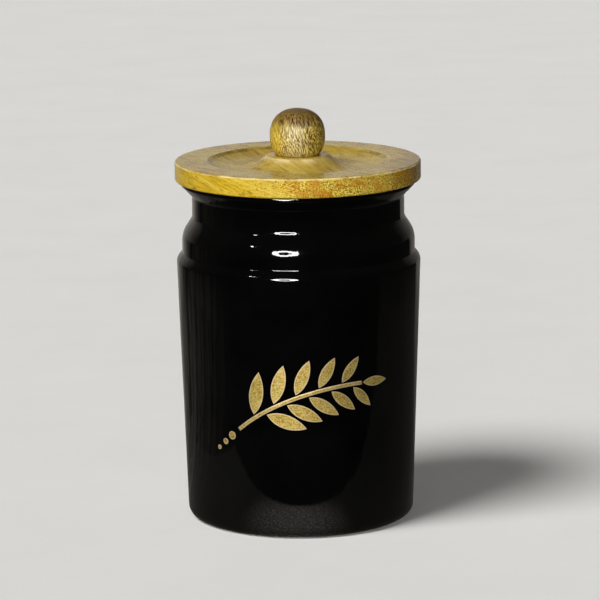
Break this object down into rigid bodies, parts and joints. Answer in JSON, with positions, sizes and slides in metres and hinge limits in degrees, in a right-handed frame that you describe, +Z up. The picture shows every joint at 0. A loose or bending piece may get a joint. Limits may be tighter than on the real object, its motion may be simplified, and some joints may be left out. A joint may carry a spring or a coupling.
{
  "type": "salt canister",
  "caption": "Glazed stoneware canister with a stepped shoulder and flared lip, closed by a turned wooden lid with a ball knob and a silicone seal.",
  "frame": {"origin": "centre of the foot ring, on the floor, on the jar's axis", "axes": "+Z up along the jar's axis, -Y towards the front with the gold sprig, +X to the right as seen from the front"},
  "size_m": [0.102, 0.102, 0.1713],
  "materials": {
    "black_glaze": "glossy black glaze",
    "gold_foil": "thin satin gold foil",
    "lid_wood": "golden wood, satin lacquer",
    "plug_wood": "golden wood, bare",
    "knob_wood": "golden wood, satin lacquer",
    "silicone": "milky silicone",
    "screw_steel": "zinc plated"
  },
  "bodies": {
    "jar": {"jar_body": "black_glaze", "gold_stem": "gold_foil", "gold_leaves": "gold_foil", "gold_berries": "gold_foil"},
    "seal": {"seal_ring": "silicone"},
    "lid": {"lid_board": "lid_wood", "lid_plug": "plug_wood", "lid_knob": "knob_wood", "knob_screw": "screw_steel"}
  },
  "joints": [
    {"name": "lid_lift", "type": "slide", "parent": "jar", "child": "seal", "axis": [0, 0, 1], "range_m": [0, 0.1]},
    {"name": "lid_turn", "type": "hinge", "parent": "seal", "child": "lid", "pos_m": [0, 0, 0.1421], "axis": [0, 0, 1], "continuous": true}
  ]
}
